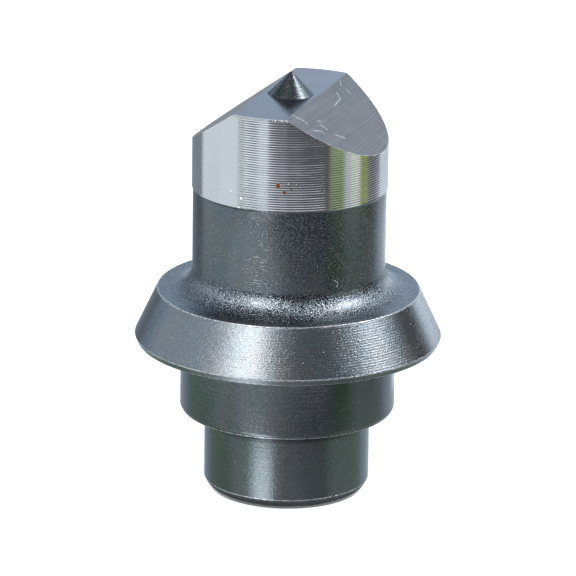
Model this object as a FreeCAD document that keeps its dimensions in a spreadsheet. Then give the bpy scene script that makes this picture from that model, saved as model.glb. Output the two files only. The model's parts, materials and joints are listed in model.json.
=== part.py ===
import FreeCAD, Part
import os
import Sketcher

# A round piercing punch, turned, hardened and ground from one bar of tool steel.
# It stands on its tail. From the bottom up it has a tail spigot and a wider locating spigot, which
# the ram's socket holds, a collar whose cone the coupling nut clamps, and a body with a slightly
# larger cutting tip. The tip's end is ground to a roof: two slopes that leave a flat strip between
# them, with a centring pip in the middle of the strip.
# Frame: the origin is the centre of the tail's flat end, +Z points along the axis to the pip, and
# the flat strip runs along Y.

# Driving sizes, with lengths in millimetres and angles in degrees
SIZES = {
    "tip_diameter": 26.0,
    "tip_length": 12.8,
    "relief_depth": 0.15,
    "relief_ramp": 0.3,
    "body_length": 13.9,
    "shoulder_fillet": 3.0,
    "collar_diameter": 40.9,
    "cone_height": 6.35,
    "cone_angle": 25.0,
    "land_height": 0.8,
    "land_taper": 0.35,
    "spigot_diameter": 28.7,
    "spigot_length": 9.45,
    "spigot_chamfer_width": 0.25,
    "spigot_chamfer_height": 0.5,
    "tail_diameter": 22.1,
    "tail_length": 11.1,
    "tail_lead_width": 0.8,
    "tail_lead_height": 1.4,
    "pip_diameter": 6.2,
    "pip_height": 2.95,
    "pip_point": 0.3,
    "strip_margin": 0.5,
    "roof_angle": 35.3,
    "edge_break": 0.15,
}

doc = FreeCAD.newDocument("piercing_punch")
sheet = doc.addObject("Spreadsheet::Sheet", "Sizes")
for row, (alias, size) in enumerate(SIZES.items(), start=1):
    sheet.set(f"A{row}", alias.replace("_", " "))
    sheet.set(f"B{row}", str(size))
    sheet.setAlias(f"B{row}", alias)
doc.recompute()

# Radii, worked out from the driving sizes
TIP_RADIUS = "Sizes.tip_diameter / 2"
BODY_RADIUS = f"{TIP_RADIUS} - Sizes.relief_depth"
COLLAR_RADIUS = "Sizes.collar_diameter / 2"
LAND_RADIUS = f"{COLLAR_RADIUS} - Sizes.land_taper"
SHOULDER_RADIUS = f"{COLLAR_RADIUS} - Sizes.cone_height * tan(Sizes.cone_angle)"
SPIGOT_RADIUS = "Sizes.spigot_diameter / 2"
TAIL_RADIUS = "Sizes.tail_diameter / 2"
PIP_RADIUS = "Sizes.pip_diameter / 2"
STRIP_HALF = f"{PIP_RADIUS} + Sizes.strip_margin"

# Heights above the tail's flat end
SPIGOT_BOTTOM = "Sizes.tail_length"
COLLAR_BOTTOM = f"{SPIGOT_BOTTOM} + Sizes.spigot_length"
CONE_BOTTOM = f"{COLLAR_BOTTOM} + Sizes.land_height"
SHOULDER = f"{CONE_BOTTOM} + Sizes.cone_height"
TIP_BOTTOM = f"{SHOULDER} + Sizes.body_length"
STRIP = f"{TIP_BOTTOM} + Sizes.tip_length"
PIP_TOP = f"{STRIP} + Sizes.pip_height"

ON_AXIS = "0"
# How far the slope cuts run past the tip
OVERRUN = 1.0
# Edges count as the same when they agree this closely
CLOSE = 1e-4
# The least volume, in cubic millimetres, that each slope has to take away
LEAST_CUT = 1.0


def worth(expression):
    """The number that an expression on the sheet comes to."""
    return float(sheet.evalExpression(expression))


def origin_plane(body, role):
    """One of a body's own base planes, found by its role."""
    for feature in body.Origin.OriginFeatures:
        if feature.Role == role:
            return feature
    raise ValueError(role)


def flat_sketch(body, name, role):
    """An empty sketch that lies on one of the body's base planes."""
    sketch = body.newObject("Sketcher::SketchObject", name)
    sketch.AttachmentSupport = (origin_plane(body, role), [""])
    sketch.MapMode = "FlatFace"
    return sketch


def hold_corner(sketch, line, name, across, up):
    """Ties the start of a line to the expressions of its two coordinates."""
    if across == ON_AXIS:
        sketch.addConstraint(Sketcher.Constraint("PointOnObject", line, 1, -2))
    else:
        tie = sketch.addConstraint(Sketcher.Constraint("DistanceX", -1, 1, line, 1, worth(across)))
        sketch.renameConstraint(tie, f"{name}_across")
        sketch.setExpression(f"Constraints.{name}_across", across)
    if up == ON_AXIS:
        sketch.addConstraint(Sketcher.Constraint("PointOnObject", line, 1, -1))
    else:
        tie = sketch.addConstraint(Sketcher.Constraint("DistanceY", -1, 1, line, 1, worth(up)))
        sketch.renameConstraint(tie, f"{name}_up")
        sketch.setExpression(f"Constraints.{name}_up", up)


def closed_outline(sketch, corners):
    """Draws a closed outline of straight lines through named corners, each tied to its place."""
    points = [FreeCAD.Vector(worth(across), worth(up), 0) for name, across, up in corners]
    count = len(corners)
    for number in range(count):
        sketch.addGeometry(Part.LineSegment(points[number], points[(number + 1) % count]), False)
    for number in range(count):
        sketch.addConstraint(Sketcher.Constraint("Coincident", number, 2, (number + 1) % count, 1))
    for number, (name, across, up) in enumerate(corners):
        hold_corner(sketch, number, name, across, up)


def ring_edges(feature, rings):
    """Names of the circular edges that have one of the given radii and heights."""
    names = []
    for number, edge in enumerate(feature.Shape.Edges, start=1):
        if not isinstance(edge.Curve, Part.Circle):
            continue
        for radius, height in rings:
            same_radius = abs(edge.Curve.Radius - worth(radius)) < CLOSE
            same_height = abs(edge.Curve.Center.z - worth(height)) < CLOSE
            if same_radius and same_height:
                names.append(f"Edge{number}")
    return names


def rounded(body, name, feature, rings, radius):
    """Rounds the circular edges of a feature to a radius given as an expression."""
    fillet = body.newObject("PartDesign::Fillet", name)
    fillet.Base = (feature, ring_edges(feature, rings))
    fillet.setExpression("Radius", radius)
    doc.recompute()
    return fillet


def turned_blank(body):
    """The punch as it comes off the lathe: half its section, turned about the axis."""
    section = flat_sketch(body, "HalfSection", "XZ_Plane")
    closed_outline(section, [
        ("centre", ON_AXIS, ON_AXIS),
        ("tail_end", f"{TAIL_RADIUS} - Sizes.tail_lead_width", ON_AXIS),
        ("tail_wall", TAIL_RADIUS, "Sizes.tail_lead_height"),
        ("tail_root", TAIL_RADIUS, SPIGOT_BOTTOM),
        ("spigot_end", f"{SPIGOT_RADIUS} - Sizes.spigot_chamfer_width", SPIGOT_BOTTOM),
        ("spigot_wall", SPIGOT_RADIUS, f"{SPIGOT_BOTTOM} + Sizes.spigot_chamfer_height"),
        ("spigot_root", SPIGOT_RADIUS, COLLAR_BOTTOM),
        ("land_bottom", LAND_RADIUS, COLLAR_BOTTOM),
        ("cone_bottom", COLLAR_RADIUS, CONE_BOTTOM),
        ("cone_top", SHOULDER_RADIUS, SHOULDER),
        ("body_root", BODY_RADIUS, SHOULDER),
        ("body_top", BODY_RADIUS, TIP_BOTTOM),
        ("tip_bottom", TIP_RADIUS, f"{TIP_BOTTOM} + Sizes.relief_ramp"),
        ("tip_top", TIP_RADIUS, STRIP),
        ("pip_root", PIP_RADIUS, STRIP),
        ("pip_point", "Sizes.pip_point / 2", PIP_TOP),
        ("pip_centre", ON_AXIS, PIP_TOP),
    ])
    turned = body.newObject("PartDesign::Revolution", "TurnedBlank")
    turned.Profile = section
    turned.ReferenceAxis = (section, ["V_Axis"])
    turned.Angle = 360.0
    doc.recompute()
    return turned


def roof(body, blank):
    """Two slopes ground across the tip along Y, which leave the flat strip between them."""
    far = f"{TIP_RADIUS} + {OVERRUN}"
    wedge = flat_sketch(body, "SlopeSection", "XZ_Plane")
    closed_outline(wedge, [
        ("strip_edge", STRIP_HALF, STRIP),
        ("slope_foot", far, f"{STRIP} - ({far} - ({STRIP_HALF})) * tan(Sizes.roof_angle)"),
        ("clear_corner", far, f"{STRIP} + {OVERRUN}"),
        ("above_edge", STRIP_HALF, f"{STRIP} + {OVERRUN}"),
    ])
    slope = body.newObject("PartDesign::Pocket", "Slope")
    slope.Profile = wedge
    slope.Midplane = True
    slope.setExpression("Length", f"Sizes.tip_diameter + {2 * OVERRUN}")
    doc.recompute()
    check_removes(blank, slope)
    other = body.newObject("PartDesign::Mirrored", "OppositeSlope")
    other.Originals = [slope]
    other.MirrorPlane = (origin_plane(body, "YZ_Plane"), [""])
    body.Tip = other
    doc.recompute()
    check_removes(slope, other)


def check_removes(before, after):
    """Stops the build if a cut took no metal away."""
    if after.Shape.Volume > before.Shape.Volume - LEAST_CUT:
        raise ValueError(f"{after.Name} removes nothing")


def punch():
    """The whole punch, in the order that it is made."""
    body = doc.addObject("PartDesign::Body", "Punch")
    body.Label = "punch"
    blank = turned_blank(body)
    ledge = f"{SHOULDER_RADIUS} - ({BODY_RADIUS}) - 2 * Sizes.edge_break"
    foot = [(BODY_RADIUS, SHOULDER)]
    blank = rounded(body, "ShoulderFillet", blank, foot, f"min(Sizes.shoulder_fillet; {ledge})")
    rims = [
        (SHOULDER_RADIUS, SHOULDER),
        (COLLAR_RADIUS, CONE_BOTTOM),
        (LAND_RADIUS, COLLAR_BOTTOM),
    ]
    blank = rounded(body, "BrokenEdges", blank, rims, "Sizes.edge_break")
    roof(body, blank)
    body.Placement = FreeCAD.Placement()
    return body


parts = [punch()]
doc.recompute()

for item in doc.Objects:
    if "Invalid" in item.State or "Error" in item.State:
        raise ValueError(f"{item.Name} is {item.State}")
for part in parts:
    if part.Shape.isNull() or not part.Shape.isValid() or len(part.Shape.Solids) != 1:
        raise ValueError(f"{part.Label} isn't one sound solid")

os.makedirs("parts", exist_ok=True)
for part in parts:
    part.Shape.exportStep(f"parts/{part.Label}.step")
    box = part.Shape.optimalBoundingBox(False)
    print(f"{part.Label}: {part.Shape.Volume:.1f} mm3, "
          f"{box.XLength:.2f} x {box.YLength:.2f} x {box.ZLength:.2f} mm")
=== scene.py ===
"""The looks of a round piercing punch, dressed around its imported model. Blender's lengths are metres."""
import json
import math

import bmesh
import bpy
import numpy as np
from mathutils import Matrix, Vector


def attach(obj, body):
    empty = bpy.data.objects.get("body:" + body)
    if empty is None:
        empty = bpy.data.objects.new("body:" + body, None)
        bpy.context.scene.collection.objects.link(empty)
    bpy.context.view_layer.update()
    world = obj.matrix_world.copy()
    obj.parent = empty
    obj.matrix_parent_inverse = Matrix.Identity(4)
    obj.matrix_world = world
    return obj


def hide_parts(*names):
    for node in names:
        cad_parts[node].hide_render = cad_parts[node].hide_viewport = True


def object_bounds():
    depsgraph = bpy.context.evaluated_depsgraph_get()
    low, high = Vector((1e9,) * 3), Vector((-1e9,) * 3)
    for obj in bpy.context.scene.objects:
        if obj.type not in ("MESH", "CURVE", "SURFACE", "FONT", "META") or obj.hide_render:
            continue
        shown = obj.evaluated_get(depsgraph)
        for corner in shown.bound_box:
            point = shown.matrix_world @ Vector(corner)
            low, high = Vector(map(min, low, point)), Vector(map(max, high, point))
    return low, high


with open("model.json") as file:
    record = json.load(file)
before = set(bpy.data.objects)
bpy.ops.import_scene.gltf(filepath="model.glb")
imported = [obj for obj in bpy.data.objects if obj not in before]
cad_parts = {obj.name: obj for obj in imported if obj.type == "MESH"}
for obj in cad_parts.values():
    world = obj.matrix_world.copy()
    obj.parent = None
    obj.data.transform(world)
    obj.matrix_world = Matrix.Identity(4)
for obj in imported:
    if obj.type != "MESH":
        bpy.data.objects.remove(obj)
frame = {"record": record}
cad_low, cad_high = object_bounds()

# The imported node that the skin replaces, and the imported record's mounts by name
NODE = "punch"
MOUNTS = {mount["name"]: mount for mount in frame["record"]["mounts"]}

# A millimetre in Blender's metres
MM = 0.001

# Radii and half widths of the punch, in millimetres
TIP_RADIUS = 13.0
RELIEF_DEPTH = 0.15
BODY_RADIUS = TIP_RADIUS - RELIEF_DEPTH
COLLAR_RADIUS = 20.45
LAND_RADIUS = 20.1
SHOULDER_RADIUS = 17.49
SPIGOT_RADIUS = MOUNTS["locating_spigot"]["dims"]["r_mm"]
TAIL_RADIUS = MOUNTS["tail_spigot"]["dims"]["r_mm"]
PIP_RADIUS = 3.1
PIP_POINT_RADIUS = 0.15
STRIP_MARGIN = 0.5
STRIP_HALF = PIP_RADIUS + STRIP_MARGIN

# Heights above the tail's flat end, in millimetres
SPIGOT_BOTTOM = 11.1
COLLAR_BOTTOM = MOUNTS["collar_underside"]["pos_m"][2] / MM
LAND_HEIGHT = 0.8
CONE_BOTTOM = COLLAR_BOTTOM + LAND_HEIGHT
CONE_HEIGHT = 6.35
SHOULDER = CONE_BOTTOM + CONE_HEIGHT
BODY_LENGTH = 13.9
TIP_BOTTOM = SHOULDER + BODY_LENGTH
RELIEF_RAMP = 0.3
STRIP = MOUNTS["cutting_tip"]["pos_m"][2] / MM
PIP_TOP = cad_high.z / MM

# How steeply the roof's slopes fall, as height over distance
ROOF_SLOPE = math.tan(math.radians(35.3))

# Widths and heights of the two chamfers, and radii of the section's roundings, in millimetres
TAIL_LEAD_WIDTH = 0.8
TAIL_LEAD_HEIGHT = 1.4
SPIGOT_CHAMFER_WIDTH = 0.25
SPIGOT_CHAMFER_HEIGHT = 0.5
SHOULDER_FILLET = 3.0
EDGE_BREAK = 0.15
TAIL_END_ROUND = 0.12
TAIL_WALL_ROUND = 0.5
CHAMFER_FOOT_ROUND = 0.07
CHAMFER_TOP_ROUND = 0.2
ROOT_ROUND = 0.1
RELIEF_ROUND = 0.03

# Turning grooves on the tip: their pitch, their depth and how unevenly deep they are
FEED = 0.32
GROOVE_DEPTH = 0.016
GROOVE_SPREAD = 0.12
ROWS_PER_GROOVE = 5

# How finely the skin is divided: columns round the axis, the turn between points of an arc, the
# millimetres between rows of a straight run, rows across a slope or the strip and up the pip's cone,
# and the angles of the rows over the pip's point
COLUMNS = 320
ARC_STEP = math.radians(15)
ROW_SPACING = 1.2
ROOF_ROWS = 6
PIP_ROWS = 9
CAP_ANGLES = (30.0, 15.0, 0.0)

# How far a guard row lies from a run's end, the most that this may be of the run's length on the
# section and on the roof, and how many times as far from the end the roof's other rows stay
GUARD = 0.05
GUARD_MOST = 0.3
ROOF_GUARD_MOST = 0.4
GUARD_CLEAR = 1.01

# Points closer than the first are joined, and a length below the second counts as none, in millimetres
WELD_REACH = 1e-4
TINY = 1e-6

# An edge that turns by more than this is sharp
CRISP = math.radians(30)

# Seed of the grooves' depths
SEED = 7

# The skin's materials, in the order of its slots
SPIGOTS, COLLAR, LEDGE, BODY, TIP, SLOPES, FLAT, PIP = range(8)

# Camera, as the photograph was taken, in degrees and millimetres
CAMERA_TURN = 18.97
CAMERA_RISE = 17.61
CAMERA_REACH = 685.7
CAMERA_AIM = 27.527
CAMERA_ASIDE = -0.067
CAMERA_ROLL = 0.757
CAMERA_LENS = 321.93
SENSOR = 36.0


def placed(name, data):
    """A new object, placed in the scene."""
    item = bpy.data.objects.new(name, data)
    bpy.context.scene.collection.objects.link(item)
    return item


def compass(turn):
    """Level unit vector from the axis, turned anticlockwise seen from above from -Y, in degrees."""
    angle = math.radians(turn)
    return Vector((math.sin(angle), -math.cos(angle), 0))


def column_angles():
    """Angles of the skin's columns around the axis, from +X. Four of them fall where the strip's long
    edges meet the tip's wall, at the angle whose cosine is the strip's half width over the radius."""
    corner = math.acos(STRIP_HALF / TIP_RADIUS)
    wide = round(COLUMNS * corner / math.pi)
    narrow = COLUMNS // 2 - wide
    slope = np.linspace(-corner, corner, wide, endpoint=False)
    strip_end = np.linspace(corner, math.pi - corner, narrow, endpoint=False)
    half_turn = np.concatenate([slope, strip_end])
    return np.concatenate([half_turn, half_turn + math.pi])


def straight_run(start, end):
    """Points between start and end: evenly spaced, and one close to each end to hold the shading flat."""
    length = np.linalg.norm(end - start)
    count = max(1, math.ceil(length / ROW_SPACING))
    guard = min(GUARD / length, GUARD_MOST)
    inner = np.linspace(0, 1, count + 1)[1:-1]
    shares = np.concatenate([[guard], inner, [1 - guard]])[:, None]
    return start + shares * (end - start)


def corner_arc(before, corner, after, radius):
    """Points of the arc that rounds a corner: it touches both straight sides at radius over the tangent
    of half the angle between them, and its centre lies on the line that halves that angle."""
    back = (before - corner) / np.linalg.norm(before - corner)
    ahead = (after - corner) / np.linalg.norm(after - corner)
    between = math.acos(float(back @ ahead))
    halving = (back + ahead) / np.linalg.norm(back + ahead)
    centre = corner + halving * radius / math.sin(between / 2)
    first = corner + back * radius / math.tan(between / 2) - centre
    turn = math.pi - between
    if back[0] * ahead[1] - back[1] * ahead[0] > 0:
        turn = -turn
    angles = np.linspace(0, turn, max(3, math.ceil(abs(turn) / ARC_STEP)) + 1)
    cosine = np.cos(angles)
    sine = np.sin(angles)
    across = cosine * first[0] - sine * first[1]
    up = sine * first[0] + cosine * first[1]
    return centre + np.stack([across, up], axis=1)


def half_section():
    """Rows (radius, height) of the turned section from the tail's centre to the tip's lower edge. Each
    corner has its radius, its height and the radius of its rounding."""
    corners = [
        (0, 0, 0),
        (TAIL_RADIUS - TAIL_LEAD_WIDTH, 0, TAIL_END_ROUND),
        (TAIL_RADIUS, TAIL_LEAD_HEIGHT, TAIL_WALL_ROUND),
        (TAIL_RADIUS, SPIGOT_BOTTOM, ROOT_ROUND),
        (SPIGOT_RADIUS - SPIGOT_CHAMFER_WIDTH, SPIGOT_BOTTOM, CHAMFER_FOOT_ROUND),
        (SPIGOT_RADIUS, SPIGOT_BOTTOM + SPIGOT_CHAMFER_HEIGHT, CHAMFER_TOP_ROUND),
        (SPIGOT_RADIUS, COLLAR_BOTTOM, ROOT_ROUND),
        (LAND_RADIUS, COLLAR_BOTTOM, EDGE_BREAK),
        (COLLAR_RADIUS, CONE_BOTTOM, EDGE_BREAK),
        (SHOULDER_RADIUS, SHOULDER, EDGE_BREAK),
        (BODY_RADIUS, SHOULDER, SHOULDER_FILLET),
        (BODY_RADIUS, TIP_BOTTOM, RELIEF_ROUND),
        (TIP_RADIUS, TIP_BOTTOM + RELIEF_RAMP, 0),
    ]
    points = [np.array(corner[:2], float) for corner in corners]
    rows = [points[0][None]]
    last = points[0]
    for number in range(1, len(corners) - 1):
        arc = corner_arc(points[number - 1], points[number], points[number + 1], corners[number][2])
        rows += [straight_run(last, arc[0]), arc]
        last = arc[-1]
    rows += [straight_run(last, points[-1]), points[-1][None]]
    return np.concatenate(rows)


def section_finishes(section):
    """Material of each ring between two rows of the turned section, by its middle height."""
    middle = (section[1:, 1] + section[:-1, 1]) / 2
    finish = np.full(len(middle), SPIGOTS)
    finish[middle > COLLAR_BOTTOM - TINY] = COLLAR
    finish[middle > SHOULDER - TINY] = LEDGE
    finish[middle > SHOULDER + SHOULDER_FILLET] = BODY
    return finish


def roof_height(across):
    """Height of the roof at a distance across it: the strip's height, less the slope times how far the
    place lies beyond the strip's edge."""
    return STRIP - ROOF_SLOPE * np.maximum(0, np.abs(across) - STRIP_HALF)


def groove_radius(height, depths):
    """Radius of the tip's wall at a height. Each turn of the lathe leaves a shallow round groove, here a
    parabola: the ridge radius less its depth times one minus the square of the place across it."""
    turn = (height - TIP_BOTTOM - RELIEF_RAMP) / FEED
    number = np.clip(turn.astype(int), 0, len(depths) - 1)
    place = 2 * (turn - number) - 1
    return TIP_RADIUS - depths[number] * np.clip(1 - place**2, 0, 1)


def carried_round(section, around):
    """Points of a turned surface, row by row: the level unit vectors around, times the radius of each
    row of the section, at the row's height."""
    level = section[:, :1, None] * around[None]
    height = np.repeat(section[:, 1:, None], COLUMNS, axis=1)
    return np.concatenate([level, height], axis=2)


def tip_wall(around):
    """Rows of the tip's grooved wall. A row that would pass the roof is held a guard below it, and the
    last row is the rim, where the wall meets the roof."""
    chance = np.random.default_rng(SEED)
    turns = math.ceil((STRIP - TIP_BOTTOM) / FEED) + 1
    depths = GROOVE_DEPTH * (1 + GROOVE_SPREAD * chance.uniform(-1, 1, turns))
    top = roof_height(TIP_RADIUS * around[:, 0])
    first = TIP_BOTTOM + RELIEF_RAMP + FEED / ROWS_PER_GROOVE
    heights = np.arange(first, STRIP, FEED / ROWS_PER_GROOVE)
    heights = np.minimum(heights[:, None], top[None] - GUARD)
    heights = np.concatenate([heights, top[None]])
    radii = groove_radius(heights, depths)
    wall = np.concatenate([radii[:, :, None] * around[None], heights[:, :, None]], axis=2)
    wall[-1, :, 2] = roof_height(wall[-1, :, 0])
    return wall


def strip_edge(rim):
    """The row where the slopes meet the strip: each point of the rim, moved in along X to the strip's
    edge. At the strip's two ends, which lie on the rim, the points stay where they are."""
    edge = rim.copy()
    edge[:, 0] = np.clip(rim[:, 0], -STRIP_HALF, STRIP_HALF)
    edge[:, 2] = STRIP
    return edge


def roof_rows(start, end):
    """Rows from start, which is left out, to end: start plus a share of the way. Next to start and end
    lies a guard row, and the evenly spaced rows between these two keep clear of them."""
    lengths = np.linalg.norm(end - start, axis=1)
    guard = np.minimum(GUARD / np.maximum(lengths, TINY), ROOF_GUARD_MOST)
    clear = guard * GUARD_CLEAR
    inner = np.linspace(0, 1, ROOF_ROWS + 1)[1:-1, None] * np.ones_like(lengths)[None]
    inner = np.clip(inner, clear, 1 - clear)
    shares = np.concatenate([guard[None], inner, 1 - guard[None], np.ones_like(lengths)[None]])
    return start[None] + shares[:, :, None] * (end - start)[None]


def pip_rows():
    """Rows (radius, height) up the pip: a cone of 45 degrees a side, whose point is a ball that touches
    it and the top. The ball's radius is the cone's missing tip over the square root of two less one,
    and it touches the cone at that radius over the square root of two."""
    sharp_top = PIP_TOP + PIP_POINT_RADIUS
    ball = PIP_POINT_RADIUS / (math.sqrt(2) - 1)
    touch = ball / math.sqrt(2)
    cone_radius = np.concatenate([[PIP_RADIUS - GUARD], np.linspace(PIP_RADIUS, touch, PIP_ROWS)[1:]])
    cone_height = sharp_top - cone_radius
    angles = np.radians(CAP_ANGLES)
    cap_radius = ball * np.sin(angles)
    cap_height = PIP_TOP - ball * (1 - np.cos(angles))
    return np.stack([np.r_[cone_radius, cap_radius], np.r_[cone_height, cap_height]], axis=1)


def skin_grid():
    """The whole skin as a grid of points, row by row from the tail's centre to the pip's point, with
    the material of each ring between two rows. A column runs up one side of the section, over the
    tip's rim, in across the slope at constant Y to the strip's edge, then straight to the pip and up
    its cone."""
    angles = column_angles()
    around = np.stack([np.cos(angles), np.sin(angles)], axis=1)
    section = half_section()
    wall = tip_wall(around)
    rim = wall[-1]
    edge = strip_edge(rim)
    inward = np.arctan2(edge[:, 1], edge[:, 0])
    toward = np.stack([np.cos(inward), np.sin(inward)], axis=1)
    root = carried_round(np.array([[PIP_RADIUS, STRIP]]), toward)[0]
    upper = [
        (wall, TIP),
        (roof_rows(rim, edge), SLOPES),
        (roof_rows(edge, root), FLAT),
        (carried_round(pip_rows(), toward), PIP),
    ]
    grid = np.concatenate([carried_round(section, around)] + [rows for rows, finish in upper])
    finishes = [np.full(len(rows), finish) for rows, finish in upper]
    return grid, np.concatenate([section_finishes(section)] + finishes)


def skin(materials):
    """The punch's closed skin, with its grid's poles and empty faces welded away."""
    grid, finishes = skin_grid()
    rows = len(grid)
    corner = np.arange(rows * COLUMNS).reshape(rows, COLUMNS)
    right = np.roll(corner, -1, axis=1)
    quads = np.stack([corner[:-1], right[:-1], right[1:], corner[1:]], axis=2).reshape(-1, 4)
    mesh = bpy.data.meshes.new("punch_skin")
    mesh.from_pydata((grid.reshape(-1, 3) * MM).tolist(), [], quads.tolist())
    for material in materials:
        mesh.materials.append(material)
    mesh.polygons.foreach_set("material_index", np.repeat(finishes, COLUMNS).astype(np.int32))
    mesh.polygons.foreach_set("use_smooth", np.ones(len(quads), bool))
    weld(mesh)
    return placed("punch_skin", mesh)


def weld(mesh):
    """Joins points that lie together, which closes the poles and takes out the empty faces at the
    strip's ends, and marks the edges that turn by more than CRISP as sharp."""
    work = bmesh.new()
    work.from_mesh(mesh)
    bmesh.ops.remove_doubles(work, verts=work.verts, dist=WELD_REACH * MM)
    bmesh.ops.dissolve_degenerate(work, dist=WELD_REACH / 10 * MM, edges=work.edges)
    for edge in work.edges:
        edge.smooth = edge.calc_face_angle(0.0) < CRISP
    work.to_mesh(mesh)
    work.free()
    mesh.update()


# Shader tools

class Nodes:
    """One material's or group's node tree, with short ways to add nodes and links."""

    def __init__(self, tree):
        self.tree = tree
        tree.nodes.clear()

    def feed(self, socket, value):
        """Links a socket to another, or gives it a plain value."""
        if isinstance(value, bpy.types.NodeSocket):
            self.tree.links.new(value, socket)
        else:
            socket.default_value = value

    def add(self, kind, inputs=None, **settings):
        """A node with its settings, and its inputs by name or number."""
        node = self.tree.nodes.new(kind)
        for name, value in settings.items():
            setattr(node, name, value)
        for name, value in (inputs or {}).items():
            self.feed(node.inputs[name], value)
        return node

    def maths(self, operation, *values):
        """A number worked out from others."""
        return self.add("ShaderNodeMath", dict(enumerate(values)), operation=operation).outputs[0]

    def vectors(self, operation, *values, out="Vector"):
        """A vector worked out from others, or a number, where out is "Value"."""
        return self.add("ShaderNodeVectorMath", dict(enumerate(values)), operation=operation).outputs[out]

    def step(self, value, low, high, to_low=0.0, to_high=1.0):
        """A smooth step from to_low at low to to_high at high."""
        return self.add("ShaderNodeMapRange", {
            "Value": value, "From Min": low, "From Max": high, "To Min": to_low, "To Max": to_high,
        }, interpolation_type="SMOOTHSTEP").outputs[0]

    def mix(self, share, first, second):
        """A colour between first and second."""
        return self.add("ShaderNodeMix", {0: share, 6: first, 7: second}, data_type="RGBA").outputs[2]

    def between(self, share, first, second):
        """A number between first and second."""
        return self.add("ShaderNodeMix", {0: share, 2: first, 3: second}, data_type="FLOAT").outputs[0]

    def noise(self, vector, scale, detail=2.0, roughness=0.5):
        """Smooth noise from 0 to 1, with scale waves to the vector's unit."""
        return self.add("ShaderNodeTexNoise", {
            "Vector": vector, "Scale": scale, "Detail": detail, "Roughness": roughness,
        }).outputs["Fac"]

    def level(self, place):
        """The height of a place."""
        return self.add("ShaderNodeSeparateXYZ", {0: place}).outputs[2]

    def places(self):
        """The place on the piece in millimetres."""
        where = self.add("ShaderNodeTexCoord").outputs["Object"]
        return self.vectors("MULTIPLY", where, (1 / MM, 1 / MM, 1 / MM))

    def use(self, group, **inputs):
        """Places a node group, with its inputs by name, and returns its outputs."""
        values = {name.replace("_", " "): value for name, value in inputs.items()}
        return self.add("ShaderNodeGroup", values, node_tree=group).outputs


def blank_material(name):
    """A new material, and the tools for its empty node tree."""
    material = bpy.data.materials.new(name)
    material.use_nodes = True
    return material, Nodes(material.node_tree)


def group(name, inputs, outputs, build):
    """A node group. inputs maps names to their first values; build(nodes, inputs) gives the outputs."""
    kinds = {float: "NodeSocketFloat", tuple: "NodeSocketVector"}
    tree = bpy.data.node_groups.new(name, "ShaderNodeTree")
    for title, value in inputs.items():
        socket = tree.interface.new_socket(title, in_out="INPUT", socket_type=kinds[type(value)])
        socket.default_value = value
    for title in outputs:
        tree.interface.new_socket(title, in_out="OUTPUT", socket_type="NodeSocketFloat")
    nodes = Nodes(tree)
    entry = nodes.add("NodeGroupInput").outputs
    results = build(nodes, entry)
    nodes.add("NodeGroupOutput", dict(zip(outputs, results)))
    return tree


def grain_effect():
    """Scaled skin: low peaks on a smooth ground, where noise rises above its middle. Share tells how
    high a place stands, from 0 in the pits to 1 on the peaks."""
    def build(nodes, entry):
        fine = nodes.noise(entry["Place"], entry["Per mm"], 1.0, 0.6)
        slow = nodes.step(nodes.noise(entry["Place"], 0.35, 2.0), 0.3, 0.7, 0.6, 1.0)
        peaks = nodes.maths("MAXIMUM", nodes.maths("SUBTRACT", fine, 0.47), 0.0)
        return [nodes.maths("MULTIPLY", peaks, slow), nodes.step(fine, 0.3, 0.7)]
    return group("grain", {"Place": (0.0, 0.0, 0.0), "Per mm": 4.0}, ["Height", "Share"], build)


def turning_effect():
    """Lathe lines: noise that changes slowly round the axis, and fast along it."""
    def build(nodes, entry):
        squeezed = nodes.vectors("MULTIPLY", entry["Place"], (0.035, 0.035, 1.0))
        return [nodes.noise(squeezed, entry["Per mm"], 3.0, 0.6)]
    return group("turning", {"Place": (0.0, 0.0, 0.0), "Per mm": 4.0}, ["Height"], build)


def feed_effect():
    """Feed marks: a sine along the axis, one wave to each Pitch, broken into dashes by noise."""
    def build(nodes, entry):
        scaled = nodes.maths("MULTIPLY", nodes.level(entry["Place"]), 2 * math.pi)
        angle = nodes.maths("DIVIDE", scaled, entry["Pitch"])
        squeezed = nodes.vectors("MULTIPLY", entry["Place"], (1.3, 1.3, 1.3))
        dashes = nodes.step(nodes.noise(squeezed, 3.0, 0.0), 0.38, 0.60)
        return [nodes.maths("MULTIPLY", nodes.maths("SINE", angle), dashes)]
    return group("feed", {"Place": (0.0, 0.0, 0.0), "Pitch": 0.3}, ["Height"], build)


def speck_effect():
    """Scattered specks: cells of a given number to the millimetre, a share of which hold a round spot."""
    def build(nodes, entry):
        cells = nodes.add("ShaderNodeTexVoronoi", {"Vector": entry["Place"], "Scale": entry["Per mm"]})
        chance = nodes.add("ShaderNodeSeparateColor", {0: cells.outputs["Color"]}).outputs
        picked = nodes.maths("LESS_THAN", chance[0], entry["Share"])
        size = nodes.maths("MULTIPLY", entry["Size"], nodes.maths("ADD", chance[1], 0.4))
        spot = nodes.step(cells.outputs["Distance"], size, nodes.maths("MULTIPLY", size, 0.6))
        strength = nodes.maths("MULTIPLY", picked, nodes.step(chance[2], 0.0, 1.0, 0.25, 1.0))
        return [nodes.maths("MULTIPLY", spot, strength)]
    inputs = {"Place": (0.0, 0.0, 0.0), "Per mm": 1.0, "Share": 0.2, "Size": 0.2}
    return group("specks", inputs, ["Mask"], build)


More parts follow.
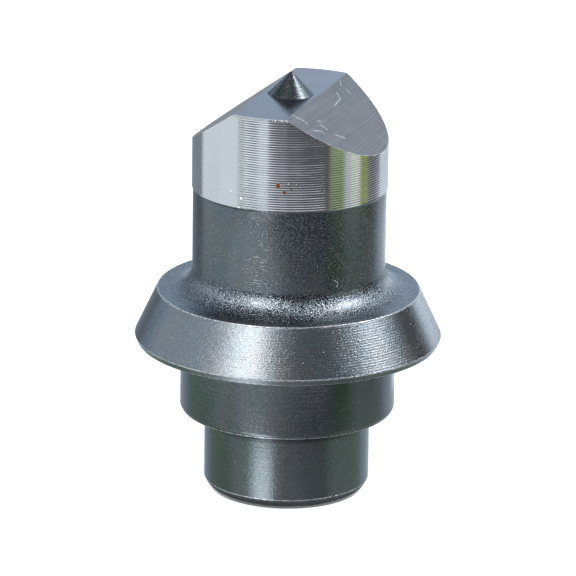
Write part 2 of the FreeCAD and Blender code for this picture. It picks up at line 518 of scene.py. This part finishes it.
def scratch_effect():
    """A scratch from Start to End: within half its Width of the line between them, ragged by noise."""
    def build(nodes, entry):
        along = nodes.vectors("SUBTRACT", entry["End"], entry["Start"])
        off = nodes.vectors("SUBTRACT", entry["Place"], entry["Start"])
        share = nodes.maths("DIVIDE", nodes.vectors("DOT_PRODUCT", off, along, out="Value"),
                            nodes.vectors("DOT_PRODUCT", along, along, out="Value"))
        share = nodes.add("ShaderNodeClamp", {0: share}).outputs[0]
        foot = nodes.vectors("MULTIPLY_ADD", along, nodes.add("ShaderNodeCombineXYZ", {
            0: share, 1: share, 2: share}).outputs[0], entry["Start"])
        gap = nodes.vectors("DISTANCE", entry["Place"], foot, out="Value")
        ragged = nodes.noise(entry["Place"], 5.0, 1.0)
        half = nodes.maths("MULTIPLY", entry["Width"], ragged)
        return [nodes.step(gap, half, nodes.maths("MULTIPLY", half, 0.4))]
    zero = (0.0, 0.0, 0.0)
    inputs = {"Place": zero, "Start": zero, "End": (1.0, 0.0, 0.0), "Width": 0.2}
    return group("scratch", inputs, ["Mask"], build)


def spot_effect():
    """A spot round a centre, with a ragged rim."""
    def build(nodes, entry):
        gap = nodes.vectors("DISTANCE", entry["Place"], entry["Centre"], out="Value")
        ragged = nodes.noise(entry["Place"], 6.0, 2.0)
        gap = nodes.maths("DIVIDE", gap, entry["Radius"])
        gap = nodes.maths("ADD", gap, nodes.maths("MULTIPLY", ragged, 0.6))
        return [nodes.step(gap, 1.45, 0.95)]
    inputs = {"Place": (0.0, 0.0, 0.0), "Centre": (0.0, 0.0, 0.0), "Radius": 0.2}
    return group("spot", inputs, ["Mask"], build)


def rim_effect():
    """Bare metal along a round edge, by the distance from the circle of its radius and height. Noise
    widens it to its full width in places and breaks it in others."""
    def build(nodes, entry):
        axes = nodes.add("ShaderNodeSeparateXYZ", {0: entry["Place"]}).outputs
        reach = nodes.maths("SQRT", nodes.maths("MULTIPLY_ADD", axes[0], axes[0],
                                                nodes.maths("MULTIPLY", axes[1], axes[1])))
        off = nodes.maths("SUBTRACT", reach, entry["Radius"])
        rise = nodes.maths("SUBTRACT", axes[2], entry["Height"])
        gap = nodes.maths("SQRT", nodes.maths("MULTIPLY_ADD", off, off, nodes.maths("MULTIPLY", rise, rise)))
        chips = nodes.noise(entry["Place"], 2.6, 3.0, 0.75)
        width = nodes.maths("MULTIPLY", entry["Width"], nodes.step(chips, 0.36, 0.56, 0.2, 1.0))
        return [nodes.step(gap, width, nodes.maths("MULTIPLY", width, 0.5))]
    inputs = {"Place": (0.0, 0.0, 0.0), "Radius": 1.0, "Height": 0.0, "Width": 0.2}
    return group("rim", inputs, ["Mask"], build)


GRAIN = grain_effect()
TURNING = turning_effect()
FEED_MARKS = feed_effect()
SPECKS = speck_effect()
SCRATCH = scratch_effect()
SPOT = spot_effect()
RIM = rim_effect()


def colour(red, green, blue):
    """An opaque colour from the strengths of its three parts."""
    return (red, green, blue, 1.0)


# Tones of the steel, of black for the grains' pits and for the painted shade under a step, and of its
# rust, the share of the body's grains that glint, and the pitch of the collar's feed marks in millimetres
BARE_STEEL = colour(0.60, 0.61, 0.62)
BODY_STEEL = colour(0.134, 0.159, 0.177)
BODY_SPARKLE = 0.08
COLLAR_FEED = 0.31
BLACK = colour(0.02, 0.02, 0.02)
RUST = colour(0.20, 0.07, 0.02)
RUST_RING = colour(0.45, 0.26, 0.13)

# Painted shade under a step's edge, where the step shades the wall below it: how far under the edge it
# is full and how far under it ends, how high it laps over the edge, in millimetres, and its share where it
# is full
STEP_SHADE_FULL = 1.2
STEP_SHADE_END = 2.0
STEP_SHADE_LAP = 0.55
STEP_SHADE_SHARE = 0.55


def steel(name, build):
    """A metal material. build(nodes, place) gives its colour, roughness and height, in millimetres."""
    material, nodes = blank_material(name)
    place = nodes.places()
    tone, roughness, height = build(nodes, place)
    bump = nodes.add("ShaderNodeBump", {"Strength": 1.0, "Distance": MM, "Height": height})
    shade = nodes.add("ShaderNodeBsdfPrincipled", {
        "Metallic": 1.0, "Base Color": tone, "Roughness": roughness, "Normal": bump.outputs[0]})
    nodes.add("ShaderNodeOutputMaterial", {"Surface": shade.outputs[0]})
    return material


def on_wall(turn, height, radius=TIP_RADIUS):
    """A place on a round wall, by degrees to the right of the camera and height, in millimetres."""
    return tuple(compass(CAMERA_TURN + turn) * radius + Vector((0, 0, height)))


def on_roof(across, along):
    """A place on the roof, by its X and Y in millimetres."""
    return (across, along, float(roof_height(across)))


def strongest(nodes, masks):
    """The greatest of several masks."""
    result = masks[0]
    for mask in masks[1:]:
        result = nodes.maths("MAXIMUM", result, mask)
    return result


def scratches(nodes, place, lines, width):
    """Mask of ragged scratches: each line is a chain of places."""
    return strongest(nodes, [
        nodes.use(SCRATCH, Place=place, Start=start, End=end, Width=width)["Mask"]
        for line in lines for start, end in zip(line[:-1], line[1:])])


def bright_turned_tip():
    """Tip's wall: bright turned steel with fine lathe lines, faint stains, rust spots and burrs. Each
    spot has its turn, height and radius, and the last four burrs lie along the strip's edge."""
    rust = [(-6.8, 45.5, 0.34), (-3.0, 44.6, 0.26), (1.0, 45.0, 0.16), (18.8, 44.6, 0.15)]
    bright = [(-36.4, 44.0, 0.16), (-29.2, 43.2, 0.2), (-30.6, 41.95, 0.16)]
    bright += [(turn, STRIP - 0.15, radius) for turn, radius in [
        (-13.5, 0.1), (-8.7, 0.14), (-4.9, 0.14), (-2.1, 0.17)]]

    def build(nodes, place):
        lines = nodes.use(TURNING, Place=place, Per_mm=9.0)["Height"]
        cloud = nodes.noise(place, 0.5, 3.0)
        burrs = nodes.use(SPECKS, Place=place, Per_mm=1.0, Share=0.10, Size=0.12)["Mask"]
        edge = nodes.use(RIM, Place=place, Radius=TIP_RADIUS, Height=STRIP, Width=0.3)["Mask"]
        rusty, torn = [strongest(nodes, [
            nodes.use(SPOT, Place=place, Centre=on_wall(turn, up), Radius=radius)["Mask"]
            for turn, up, radius in spots]) for spots in (rust, bright)]
        burrs = strongest(nodes, [burrs, edge, torn])
        stains = nodes.use(SPECKS, Place=place, Per_mm=2.4, Share=0.22, Size=0.3)["Mask"]
        stains = nodes.maths("MULTIPLY", stains, nodes.step(cloud, 0.5, 0.7, 0.0, 0.35))
        tone = nodes.mix(cloud, colour(0.61, 0.62, 0.63), colour(0.66, 0.67, 0.68))
        tone = nodes.mix(stains, tone, colour(0.25, 0.25, 0.25))
        tone = nodes.mix(torn, tone, colour(0.95, 0.95, 0.95))
        tone = nodes.mix(rusty, tone, nodes.mix(nodes.maths("POWER", rusty, 3.0), RUST_RING, RUST))
        roughness = nodes.maths("MULTIPLY_ADD", nodes.maths("MAXIMUM", rusty, burrs), 0.45,
                                nodes.step(cloud, 0.3, 0.7, 0.09, 0.13))
        height = nodes.maths("MULTIPLY_ADD", burrs, 0.03, nodes.maths("MULTIPLY", lines, 0.003))
        return tone, roughness, height
    return steel("bright_turned_tip", build)


def ground_slopes():
    """The two slopes: surface-ground steel with fine lines along Y, a few bright scratches, and a
    bright line left by the grinding wheel along the outer edge."""
    marks = [
        [(4.6, 5.1), (5.4, 4.2), (5.6, 1.3)], [(3.8, 8.9), (4.3, 7.7)], [(4.95, 8.0), (5.6, 7.8)],
        [(3.6, -9.8), (4.2, -9.5), (4.7, -9.0), (5.4, -8.9)], [(5.8, -6.3), (6.0, -5.5)],
        [(6.3, -6.4), (7.2, -6.2)], [(6.4, -9.3), (6.8, -8.1), (7.4, -7.7)], [(8.2, -5.8), (9.1, -4.7)],
    ]

    def build(nodes, place):
        squeezed = nodes.vectors("MULTIPLY", place, (1.0, 0.01, 0.0))
        lines = nodes.noise(squeezed, 5.0, 3.0, 0.75)
        cloud = nodes.noise(place, 0.4, 2.0)
        marked = scratches(nodes, place, [[on_roof(*corner) for corner in mark] for mark in marks], 0.22)
        reach = nodes.vectors("LENGTH", nodes.vectors("MULTIPLY", place, (1.0, 1.0, 0.0)), out="Value")
        worn = nodes.step(nodes.noise(place, 0.7, 3.0, 0.7), 0.4, 0.6, 0.15, 0.8)
        edge = nodes.maths("MULTIPLY", nodes.step(reach, TIP_RADIUS - 0.22, TIP_RADIUS - 0.12), worn)
        marked = nodes.maths("MAXIMUM", marked, edge)
        shade = nodes.step(nodes.maths("MULTIPLY_ADD", cloud, 0.2, lines), 0.45, 0.75)
        tone = nodes.mix(shade, colour(0.233, 0.237, 0.245), colour(0.302, 0.303, 0.306))
        tone = nodes.mix(marked, tone, BARE_STEEL)
        roughness = nodes.maths("MULTIPLY_ADD", marked, 0.15, nodes.step(cloud, 0.3, 0.7, 0.44, 0.50))
        height = nodes.maths("MULTIPLY_ADD", marked, 0.05, nodes.maths("MULTIPLY", lines, 0.018))
        return tone, roughness, height
    return steel("ground_slopes", build)


def blued_strip():
    """The flat strip: fine ground steel, a little blued by heat, glossy."""
    def build(nodes, place):
        squeezed = nodes.vectors("MULTIPLY", place, (1.0, 0.02, 1.0))
        lines = nodes.noise(squeezed, 5.0, 2.0)
        cloud = nodes.step(nodes.noise(place, 0.22, 3.0), 0.35, 0.65)
        tone = nodes.mix(cloud, colour(0.238, 0.268, 0.295), colour(0.27, 0.262, 0.30))
        return tone, nodes.step(cloud, 0.0, 1.0, 0.17, 0.23), nodes.maths("MULTIPLY", lines, 0.004)
    return steel("blued_strip", build)


def dark_pip():
    """The pip: dark turned steel with rings round it and pitted grain."""
    def build(nodes, place):
        rings = nodes.use(TURNING, Place=place, Per_mm=5.0)["Height"]
        grain = nodes.use(GRAIN, Place=place, Per_mm=5.0)
        height = nodes.maths("MULTIPLY_ADD", rings, 0.022, nodes.maths("MULTIPLY", grain["Height"], 0.02))
        tone = nodes.mix(grain["Share"], colour(0.11, 0.125, 0.13), colour(0.195, 0.213, 0.224))
        return tone, nodes.step(grain["Share"], 0.0, 1.0, 0.22, 0.29), height
    return steel("dark_pip", build)


def bare_marks(nodes, place, rims, more):
    """Mask of bare metal: a few small specks, the worn rims, each by its radius, height and width, and
    the marks of more(nodes, place), where it is given."""
    masks = [nodes.use(SPECKS, Place=place, Per_mm=0.8, Share=0.03, Size=0.05)["Mask"]]
    masks += [nodes.use(RIM, Place=place, Radius=radius, Height=height, Width=width)["Mask"]
              for radius, height, width in rims]
    if more:
        masks.append(more(nodes, place))
    return strongest(nodes, masks)


def step_shade_mask(nodes, up, edge):
    """Mask of the painted shade under a step, by the heights of the place and of the step's edge."""
    below = nodes.step(up, edge - STEP_SHADE_END, edge - STEP_SHADE_FULL, 0.0, STEP_SHADE_SHARE)
    return nodes.maths("MULTIPLY", below, nodes.step(up, edge + STEP_SHADE_LAP, edge))


def blackened(name, base, tint, roughness, grain_height, per_mm, speckle, line_height, sparkle, rims,
              ripple=0.0, more=None, calm=(0.3, 0.8), shade_step=None, settle=None):
    """Heat-blackened steel: base and tint clouded together, grain, lathe lines, worn rims, specks, and
    sparkle, the share of its grains that glint. From calm's first to its second share of turning away
    from the view it grows glossier and less grained. Where given, ripple is the height of its feed
    marks, more(nodes, place) is a mask of further marks mixed toward bare steel, shade_step is the
    height of a step with painted shade under it, and settle is the two heights between which the skin
    turns into the body's."""
    def build(nodes, place):
        up = nodes.level(place)
        facing = nodes.add("ShaderNodeLayerWeight", {"Blend": 0.5}).outputs["Facing"]
        calmed = nodes.step(facing, *calm)
        grain = nodes.use(GRAIN, Place=place, Per_mm=per_mm)
        lines = nodes.use(TURNING, Place=place, Per_mm=3.2)["Height"]
        feed = nodes.use(FEED_MARKS, Place=place, Pitch=COLLAR_FEED)["Height"]
        settled = nodes.step(up, *settle) if settle else 0.0
        still = nodes.maths("MAXIMUM", calmed, nodes.maths("MULTIPLY", settled, 0.6))
        share = nodes.between(settled, sparkle, BODY_SPARKLE)
        glint = nodes.use(SPECKS, Place=place, Per_mm=3.3, Share=share, Size=0.28)["Mask"]
        raised = nodes.maths("MULTIPLY", glint, nodes.between(still, 1.0, 0.3))
        cloud = nodes.step(nodes.noise(place, 0.25, 4.0, 0.6), 0.35, 0.65)
        bare = bare_marks(nodes, place, rims, more)
        tone = nodes.mix(settled, nodes.mix(cloud, base, tint), BODY_STEEL)
        tone = nodes.mix(nodes.step(grain["Share"], 0.6, 0.1, 0.0, speckle), tone, BLACK)
        tone = nodes.mix(nodes.step(grain["Share"], 0.7, 1.0, 0.0, speckle * 0.5), tone, BARE_STEEL)
        tone = nodes.mix(nodes.maths("MULTIPLY", glint, 0.4), tone, BARE_STEEL)
        # Painted shade under the step: the wall there is mixed toward black
        if shade_step:
            tone = nodes.mix(step_shade_mask(nodes, up, shade_step), tone, BLACK)
        tone = nodes.mix(bare, tone, BARE_STEEL)
        height = nodes.maths("MULTIPLY_ADD", grain["Height"],
                             nodes.between(still, grain_height, grain_height * 0.3),
                             nodes.maths("MULTIPLY", lines, line_height))
        height = nodes.maths("MULTIPLY_ADD", feed, ripple, height)
        height = nodes.maths("MULTIPLY_ADD", nodes.maths("MAXIMUM", bare, raised), 0.04, height)
        smooth = nodes.between(calmed, roughness, roughness * 0.4)
        return tone, nodes.between(bare, nodes.between(raised, smooth, 0.4), 0.35), height
    return steel(name, build)


def body_spot(nodes, place, turn, height, radius, squash):
    """Mask of a ragged spot on the body, as many times wider than tall as squash says: it is a round
    spot in a space whose heights are squash times as great."""
    x, y, z = on_wall(turn, height, BODY_RADIUS)
    scaled = nodes.vectors("MULTIPLY", place, (1.0, 1.0, squash))
    return nodes.use(SPOT, Place=scaled, Centre=(x, y, z * squash), Radius=radius)["Mask"]


def blackened_body():
    """Body: black and bluish, with grain, a bright hooked nick, short strokes, and two patches of painted
    highlight, lightened toward bare steel: a small one under the tip, and a large faint one with the strokes
    on it."""
    def marks(nodes, place):
        nick = [on_wall(turn, up, BODY_RADIUS) for turn, up in [(28.0, 32.2), (30.2, 31.9), (29.6, 31.2)]]
        strokes = [
            (-18.9, 35.5), (-14.6, 35.1), (-16.1, 34.8), (-15.2, 34.3), (-14.6, 33.9), (-19.0, 32.3),
            (-20.6, 32.0), (-17.5, 31.9), (-16.9, 31.6), (-17.0, 37.2), (-13.2, 36.6),
        ]
        strokes = [[on_wall(turn - 1.4, up, BODY_RADIUS), on_wall(turn + 1.4, up, BODY_RADIUS)]
                   for turn, up in strokes]
        # Painted highlight: two patches lightened toward bare steel where the body's highlight falls
        tip_highlight = body_spot(nodes, place, turn=-17, height=41.1, radius=2.1, squash=2.4)
        body_highlight = body_spot(nodes, place, turn=-20, height=33.5, radius=4.2, squash=0.5)
        return strongest(nodes, [
            nodes.maths("MULTIPLY", scratches(nodes, place, strokes, 0.16), 0.35),
            nodes.maths("MULTIPLY", tip_highlight, 0.15),
            nodes.maths("MULTIPLY", body_highlight, 0.09),
            scratches(nodes, place, [nick], 0.2),
        ])
    return blackened("blackened_body", BODY_STEEL, colour(0.152, 0.167, 0.172), roughness=0.20,
                     grain_height=0.11, per_mm=4.4, speckle=0.2, line_height=0.01,
                     sparkle=BODY_SPARKLE, rims=[], more=marks)


def grained_ledge():
    """Fillet and shoulder: the same skin, strongly grained, with bright grains all over."""
    low = SHOULDER + SHOULDER_FILLET * 0.35
    high = SHOULDER + SHOULDER_FILLET

    def grains(nodes, place):
        bright = nodes.use(SPECKS, Place=place, Per_mm=3.7, Share=0.8, Size=0.36)["Mask"]
        return nodes.maths("MULTIPLY", bright, nodes.step(nodes.level(place), low, high, 0.6, 0.0))
    return blackened("grained_ledge", colour(0.233, 0.272, 0.31), colour(0.251, 0.275, 0.302),
                     roughness=0.26, grain_height=0.15, per_mm=4.8, speckle=0.65, line_height=0.03,
                     sparkle=0.85, rims=[(SHOULDER_RADIUS, SHOULDER, 0.26)], more=grains,
                     calm=(0.72, 0.9), settle=(low, high))


def worn_collar():
    """Collar: finely grained cone, worn bare along the rims."""
    return blackened("worn_collar", colour(0.187, 0.214, 0.235), colour(0.208, 0.22, 0.232),
                     roughness=0.29, grain_height=0.046, per_mm=5.2, speckle=0.2, line_height=0.02,
                     sparkle=0.08, ripple=0.007, rims=[
                         (SHOULDER_RADIUS, SHOULDER, 0.26), (COLLAR_RADIUS, CONE_BOTTOM, 0.16),
                         (LAND_RADIUS, COLLAR_BOTTOM, 0.12)])


def smooth_spigots():
    """Spigots: smoother and mottled, worn along their lower edges, with painted shade under the step."""
    return blackened("smooth_spigots", colour(0.145, 0.17, 0.172), colour(0.165, 0.172, 0.185),
                     roughness=0.22, grain_height=0.04, per_mm=4.4, speckle=0.15, line_height=0.03,
                     sparkle=0.03, shade_step=SPIGOT_BOTTOM, rims=[
                         (SPIGOT_RADIUS - SPIGOT_CHAMFER_WIDTH, SPIGOT_BOTTOM, 0.2),
                         (TAIL_RADIUS, TAIL_LEAD_HEIGHT, 0.12)])


def camera():
    """Camera at the photograph's viewing angle, rolled a little about its own line of sight."""
    rise = math.radians(CAMERA_RISE)
    back = compass(CAMERA_TURN) * math.cos(rise) + Vector((0, 0, math.sin(rise)))
    right = compass(CAMERA_TURN + 90)
    up = back.cross(right)
    roll = math.radians(CAMERA_ROLL)
    across = right * math.cos(roll) + up * math.sin(roll)
    upward = up * math.cos(roll) - right * math.sin(roll)
    aim = right * CAMERA_ASIDE + Vector((0, 0, CAMERA_AIM))
    place = (aim + back * CAMERA_REACH) * MM
    data = bpy.data.cameras.new("camera")
    data.lens = CAMERA_LENS
    data.sensor_width = SENSOR
    data.clip_start = 0.01
    data.clip_end = 20
    item = placed("camera", data)
    turn = Matrix((across, upward, back)).transposed().to_4x4()
    item.matrix_world = Matrix.Translation(place) @ turn
    bpy.context.scene.camera = item


# Studio

# Cards on the table and in the sky round the punch, seen only in its steel. Each has its left and
# right, in degrees to the right of the camera, then its near and far reach on the table in
# millimetres, or its foot and top in degrees above the horizon, and its tone. The soft cards blend
# into their neighbours, and the sharp ones lie over them.
TABLE = (0.30, 0.33, 0.34)
SOFT_TABLE_CARDS = [
    (-180, -130, 10, 80, (0.40, 0.48, 0.56)),
    (-130, -82, 10, 80, (0.34, 0.45, 0.38)),
    (-82, -58, 10, 80, (0.60, 0.66, 0.63)),
    (-58, -20, 10, 80, (0.82, 0.90, 0.96)),
    (-47, -18, 12.4, 38, (2.75, 3.00, 3.15)),
    (-20, -5, 10, 142, (0.55, 0.60, 0.65)),
    (-5, 22, 10, 46, (0.40, 0.43, 0.45)),
    (14, 52, 44, 142, (0.13, 0.145, 0.16)),
    # Painted shadow of the spigot's step on the table, mirrored in the tail's wall just under the step
    (-75, 100, 40, 46, (0.10, 0.11, 0.12)),
    (52, 70, 10, 142, (0.18, 0.25, 0.18)),
    (52, 84, 46, 80, (0.13, 0.19, 0.14)),
    (73, 124, 10, 142, (0.34, 0.40, 0.37)),
    (60, 124, 10, 44, (0.42, 0.50, 0.45)),
    (124, 192, 10, 80, (0.56, 0.65, 0.74)),
    (150, 192, 48, 80, (1.05, 1.20, 1.35)),
    (125, 192, 101, 142, (0.92, 1.00, 1.12)),
    (-180, -126, 80, 142, (0.27, 0.32, 0.37)),
    (-58, -20, 100, 134, (1.60, 1.74, 1.92)),
    (0, 44, 142, 900, (0.055, 0.055, 0.065)),
]
SHARP_TABLE_CARDS = [
    (-180, -125, 142, 900, (0.25, 0.29, 0.33)),
    (-125, -62, 80, 900, (0.86, 0.93, 1.00)),
    (-125, -94, 100, 142, (0.72, 0.78, 0.84)),
    (-62, -50, 142, 250, (0.95, 1.05, 1.02)),
    (-50, -38, 142, 250, (0.60, 0.65, 0.70)),
    (-62, -38, 250, 900, (0.20, 0.22, 0.22)),
    (-38, -25, 142, 900, (0.66, 0.71, 0.78)),
    (-62, -30, 80, 100, (0.27, 0.30, 0.30)),
    (-25, 0, 80, 100, (1.30, 1.30, 1.40)),
    (0, 44, 80, 100, (1.40, 1.37, 1.50)),
    (-25, -6, 142, 900, (0.14, 0.14, 0.15)),
    (-6, 42, 142, 900, (0.10, 0.10, 0.115)),
    (42, 46, 142, 900, (0.10, 0.06, 0.04)),
    (48, 68, 142, 900, (0.36, 0.46, 0.24)),
    (48, 67, 80, 124, (0.05, 0.06, 0.05)),
    (67, 75, 142, 900, (0.72, 0.75, 0.84)),
    (75, 90, 142, 900, (0.90, 0.97, 0.83)),
    (91, 104, 142, 250, (0.44, 0.52, 0.04)),
    (91, 104, 80, 100, (0.06, 0.06, 0.06)),
    (91, 124, 250, 900, (0.05, 0.05, 0.06)),
    (104, 130, 142, 250, (0.17, 0.16, 0.21)),
    (104, 130, 80, 100, (0.80, 0.78, 0.90)),
    (130, 192, 142, 900, (0.66, 0.72, 0.81)),
    (130, 164, 250, 900, (1.70, 1.85, 2.05)),
    (171, 191, 190, 900, (1.05, 1.04, 1.05)),
    (-190, 190, 10, 11.6, (0.40, 0.44, 0.46)),
]
SKY = (0.20, 0.22, 0.25)
SKY_CARDS = [
    (-145, -120, 0, 14, (0.82, 0.90, 0.98)),
    (-120, -50, 0, 14, (0.95, 1.03, 1.12)),
    (-130, -50, 12, 42, (1.02, 1.10, 1.20)),
    (56, 94, 0, 45, (0.76, 0.83, 0.92)),
    (-160, -102, 24, 62, (0.14, 0.17, 0.18)),
    (122, 140, 25, 60, (0.20, 0.23, 0.25)),
    (94, 124, 34, 60, (1.62, 1.78, 1.95)),
    (120, 181, 0, 38, (0.66, 0.78, 0.95)),
    (170, 181, 0, 38, (0.74, 0.89, 1.09)),
    (181, 235, 0, 38, (0.55, 0.67, 0.84)),
    (91, 130, 0, 22, (0.14, 0.13, 0.12)),
    (131, 160, 0, 8, (1.70, 1.85, 2.05)),
    (194, 220, 0, 18, (0.16, 0.19, 0.22)),
]

# The screens' outer reach, the gap between the tail's flat end and the table's screen, their lift off
# the floor, and how finely they are divided
SCREEN_REACH = 900.0
TAIL_GAP = 0.3
CARD_LIFT = 0.1
TURN_STEP = 2.0
TABLE_ROWS = 80
SKY_ROWS = 60
SKY_TOP = 89.5

# How softly the cards end: the soft, the sharp and the sky's cards in degrees round the punch, the
# table's cards by the logarithm of the reach, and the sky's in degrees up
SOFT_TURN = 14.0
SHARP_TURN = 4.0
SKY_TURN = 7.0
SOFT_REACH = 0.1
SOFT_RISE = 7.0

# The table is darker close to the tail: the reach of the change, its width, and the share of the tone
# that is left inside it
NEAR_REACH = TAIL_RADIUS - 0.1
NEAR_WIDTH = 0.6
NEAR_SHADE = 0.3

# Reaches at which the tail's wall stops and the spigot's wall begins to mirror the table, and the
# number of rounds in which the mirrored direction settles
TAIL_MIRRORS_TO = 34
SPIGOT_MIRRORS_FROM = 48
MIRROR_ROUNDS = 30

# Half the floor's side in metres, its glow for the rays that see it directly, and the strength of
# the surroundings for the other rays
FLOOR_HALF = 4.0
FLOOR_GLOW = 0.5
SOFT_LIGHT = 0.55

# The lamps' distance from the middle of the punch, and its height, in metres
LAMP_REACH = 0.6
MIDDLE = 0.028


def window(value, low, high, soft):
    """1 from low to high, and 0 beyond them, with a smooth step as wide as soft at each."""
    share = np.clip(np.minimum(value - low, high - value) / soft + 0.5, 0, 1)
    return share**2 * (3 - 2 * share)


def mirrored_turn(reach, turn):
    """The direction in which a round wall mirrors a place on the table to the camera. The camera sees
    the place at angle a round the wall, in direction 2a, where sin(2a - turn) is the wall's radius over
    the place's reach, times sin(a). Rounds of that rule settle a."""
    radius = np.interp(reach, [TAIL_MIRRORS_TO, SPIGOT_MIRRORS_FROM], [TAIL_RADIUS, SPIGOT_RADIUS])
    seen = turn / 2
    for _ in range(MIRROR_ROUNDS):
        seen = (turn + np.arcsin(radius / reach * np.sin(seen))) / 2
    return 2 * seen


def paint(tone, bearing, level, soft_turn, soft_level, cards):
    """Lays cards over the tones of a screen: each card's share is the product of its two windows."""
    for left, right, low, high, card_tone in cards:
        off = np.abs((bearing - (left + right) / 2 + 180) % 360 - 180)
        half = (right - left) / 2
        share = window(off, -half, half, soft_turn) * window(level, low, high, soft_level)
        tone += share[:, :, None] * (np.array(card_tone) - tone)


def screen(name, points, tone):
    """A glowing screen over a grid of points that closes on itself, seen only by glossy rays."""
    number = np.arange(points.shape[0] * points.shape[1]).reshape(points.shape[:2])
    onward = np.roll(number, -1, axis=1)
    quads = np.stack([number[:-1], onward[:-1], onward[1:], number[1:]], axis=2)
    mesh = bpy.data.meshes.new(name)
    mesh.from_pydata((points.reshape(-1, 3) * MM).tolist(), [], quads.reshape(-1, 4).tolist())
    layer = mesh.attributes.new("tone", "FLOAT_COLOR", "POINT")
    values = np.concatenate([tone.reshape(-1, 3), np.ones((tone.size // 3, 1))], axis=1)
    layer.data.foreach_set("color", values.ravel())
    material, nodes = blank_material(name)
    painted = nodes.add("ShaderNodeAttribute", attribute_name="tone").outputs["Color"]
    glow = nodes.add("ShaderNodeEmission", {"Color": painted, "Strength": 1.0})
    nodes.add("ShaderNodeOutputMaterial", {"Surface": glow.outputs[0]})
    material.cycles.emission_sampling = "NONE"
    mesh.materials.append(material)
    item = placed(name, mesh)
    for rays in ["camera", "diffuse", "shadow", "transmission", "volume_scatter"]:
        setattr(item, f"visible_{rays}", False)


def table_screen(turn, around):
    """The painted table: level rings round the tail, each wider than the last by the same factor."""
    tail_end = TAIL_RADIUS - TAIL_LEAD_WIDTH
    reach = np.geomspace(tail_end + TAIL_GAP, SCREEN_REACH, TABLE_ROWS)[:, None]
    points = reach[:, :, None] * around[None] + [0, 0, CARD_LIFT]
    tone = np.ones(points.shape) * TABLE
    bearing = np.degrees(mirrored_turn(np.maximum(reach, TAIL_RADIUS), turn[None]))
    for soft, cards in [(SOFT_TURN, SOFT_TABLE_CARDS), (SHARP_TURN, SHARP_TABLE_CARDS)]:
        paint(tone, bearing, np.log(reach), soft, SOFT_REACH, [
            (left, right, math.log(near), math.log(far), card) for left, right, near, far, card in cards])
    lit = window(reach, NEAR_REACH, np.inf, NEAR_WIDTH)
    tone *= (lit * (1 - NEAR_SHADE) + NEAR_SHADE)[:, :, None]
    screen("table_screen", points, tone)


def sky_screen(turn, around):
    """The painted dome over the table: rings of a sphere, the cosine of their rise wide and its sine
    high."""
    rise = np.linspace(0, SKY_TOP, SKY_ROWS)[:, None]
    wide = np.cos(np.radians(rise))[:, :, None] * around[None]
    high = np.sin(np.radians(rise))[:, :, None] * [0, 0, 1]
    points = SCREEN_REACH * (wide + high) + [0, 0, CARD_LIFT]
    tone = np.ones(points.shape) * SKY
    paint(tone, np.degrees(turn)[None], rise, SKY_TURN, SOFT_RISE, SKY_CARDS)
    screen("sky_screen", points, tone)


def screens():
    """Both screens. Their columns run round the punch from straight behind it, seen by the camera."""
    turn = np.radians(np.arange(-180, 180, TURN_STEP))
    bearing = turn + math.radians(CAMERA_TURN)
    around = np.stack([np.sin(bearing), -np.cos(bearing), np.zeros_like(bearing)], axis=1)
    table_screen(turn, around)
    sky_screen(turn, around)


def seen_white(nodes):
    """1 for camera, glossy and transmission rays, else 0."""
    path = nodes.add("ShaderNodeLightPath")
    seen = nodes.maths("MAXIMUM", path.outputs["Is Camera Ray"], path.outputs["Is Glossy Ray"])
    return nodes.maths("MAXIMUM", seen, path.outputs["Is Transmission Ray"])


def floor():
    """Pale floor: near white, with a little of its own glow for the rays that see it directly."""
    material, nodes = blank_material("floor")
    glow = nodes.maths("MULTIPLY", seen_white(nodes), FLOOR_GLOW)
    shade = nodes.add("ShaderNodeBsdfPrincipled", {
        "Base Color": colour(0.85, 0.85, 0.85), "Roughness": 1.0, "Specular IOR Level": 0.0,
        "Emission Color": colour(1, 1, 1), "Emission Strength": glow})
    nodes.add("ShaderNodeOutputMaterial", {"Surface": shade.outputs[0]})
    half = FLOOR_HALF
    corners = [(-half, -half, 0), (half, -half, 0), (half, half, 0), (-half, half, 0)]
    mesh = bpy.data.meshes.new("floor")
    mesh.from_pydata(corners, [], [(0, 1, 2, 3)])
    mesh.materials.append(material)
    placed("floor", mesh)


def lamp(name, turn, rise, width, height, radiance, tone):
    """Soft oblong lamp that faces the punch's middle. Its power is pi times its area times radiance."""
    data = bpy.data.lights.new(name, "AREA")
    data.shape = "RECTANGLE"
    data.size = width
    data.size_y = height
    data.energy = math.pi * width * height * radiance
    data.color = tone
    angle = math.radians(rise)
    back = compass(CAMERA_TURN + turn) * math.cos(angle) + Vector((0, 0, math.sin(angle)))
    item = placed(name, data)
    item.location = Vector((0, 0, MIDDLE)) + back * LAMP_REACH
    item.rotation_mode = "QUATERNION"
    item.rotation_quaternion = back.to_track_quat("Z", "Y")
    item.visible_camera = False


def surroundings():
    """White surroundings for the rays that see them, and plain soft light for the rest."""
    scene = bpy.context.scene
    scene.world = bpy.data.worlds.new("surroundings")
    scene.world.use_nodes = True
    nodes = Nodes(scene.world.node_tree)
    strength = nodes.maths("MULTIPLY_ADD", seen_white(nodes), 1 - SOFT_LIGHT, SOFT_LIGHT)
    back = nodes.add("ShaderNodeBackground", {"Color": colour(1, 1, 1), "Strength": strength})
    nodes.add("ShaderNodeOutputWorld", {"Surface": back.outputs[0]})


def studio():
    """The white surroundings, the floor, the screens and the two lamps."""
    surroundings()
    floor()
    screens()
    lamp("lamp_front_left", turn=-34, rise=33, width=0.27, height=0.50, radiance=6.1, tone=(1, 1, 1))
    lamp("lamp_right", turn=81, rise=42, width=0.23, height=0.42, radiance=8.2, tone=(0.97, 0.98, 1))


def dress():
    """Replaces the plain solid with the finished skin."""
    piece = skin([
        smooth_spigots(), worn_collar(), grained_ledge(), blackened_body(), bright_turned_tip(),
        ground_slopes(), blued_strip(), dark_pip(),
    ])
    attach(piece, "root")
    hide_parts(NODE)


camera()
dress()
studio()
bpy.context.scene.view_settings.view_transform = "Standard"
